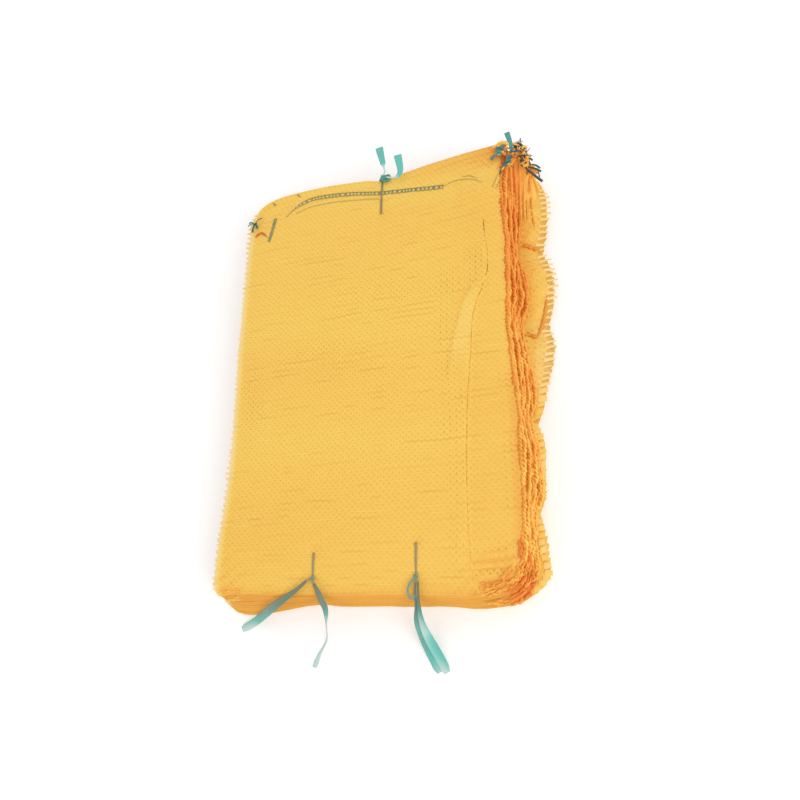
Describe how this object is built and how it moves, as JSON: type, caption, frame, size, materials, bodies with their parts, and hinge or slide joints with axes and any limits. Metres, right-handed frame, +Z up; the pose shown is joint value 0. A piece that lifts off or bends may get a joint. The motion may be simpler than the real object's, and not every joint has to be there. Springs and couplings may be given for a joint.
{
  "type": "bundle of mesh bags",
  "caption": "Flat bundle of empty knitted mesh produce bags, piled with the side seams to one side and the drawstring mouths to one end, tied through with film ribbons.",
  "frame": {"origin": "on the underside of the pile, below the middle of the bags' nominal rectangle", "axes": "+X across the bags towards their sewn sides, +Y along the bags towards their mouths, +Z up through the pile"},
  "size_m": [0.4782, 0.7327, 0.0987],
  "materials": {
    "net": "yellow-orange knitted tape, slightly glossy",
    "ribbon": "thin turquoise film, creased",
    "drawstring": "dark turquoise woven tape"
  },
  "bodies": {
    "root": {"bag_01": "net", "bag_02": "net", "bag_03": "net", "bag_04": "net", "bag_05": "net", "bag_06": "net", "bag_07": "net", "bag_08": "net", "bag_09": "net", "bag_10": "net", "bag_11": "net", "bag_12": "net", "bag_13": "net", "bag_14": "net", "bag_15": "net", "bag_16": "net", "bag_17": "net", "bag_18": "net", "bag_19": "net", "bag_20": "net", "bag_21": "net", "bag_22": "net", "bag_23": "net", "bag_24": "net", "bag_25": "net", "bag_26": "net", "bag_27": "net", "bag_28": "net", "tie_left": "ribbon", "tie_right": "ribbon", "tie_mouth": "ribbon", "tie_left_tail_1": "ribbon", "tie_left_tail_2": "ribbon", "tie_right_tail_1": "ribbon", "tie_right_tail_2": "ribbon", "drawstring_mouth": "drawstring", "drawstring_corner": "drawstring", "drawstring_knots_right": "drawstring", "drawstring_knots_left": "drawstring"}
  },
  "joints": []
}
